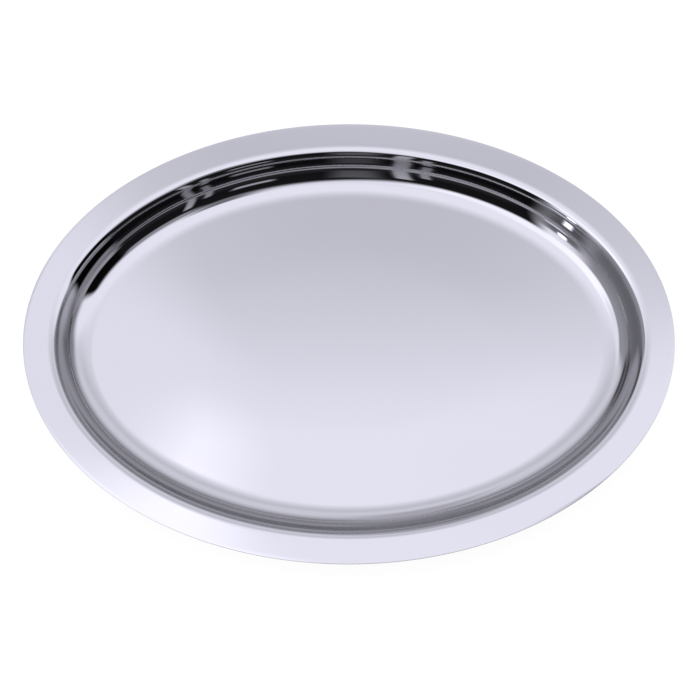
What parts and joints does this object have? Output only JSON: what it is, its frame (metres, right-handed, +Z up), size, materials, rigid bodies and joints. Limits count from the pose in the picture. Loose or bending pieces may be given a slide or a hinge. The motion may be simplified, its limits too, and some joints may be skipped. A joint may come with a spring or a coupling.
{
  "type": "serving tray",
  "caption": "Oval serving tray pressed from one sheet of mirror-polished stainless steel, with a flat plain rim, sloping wall and flat floor.",
  "frame": {"origin": "centre of the tray, on the surface that it stands on", "axes": "+X along the tray's length, +Y across it, +Z up out of the well"},
  "size_m": [0.5, 0.354, 0.027],
  "materials": {
    "polished_steel": "mirror-polished stainless steel sheet, lightly hazed by handling"
  },
  "bodies": {
    "root": {"tray_body": "polished_steel"}
  },
  "joints": []
}
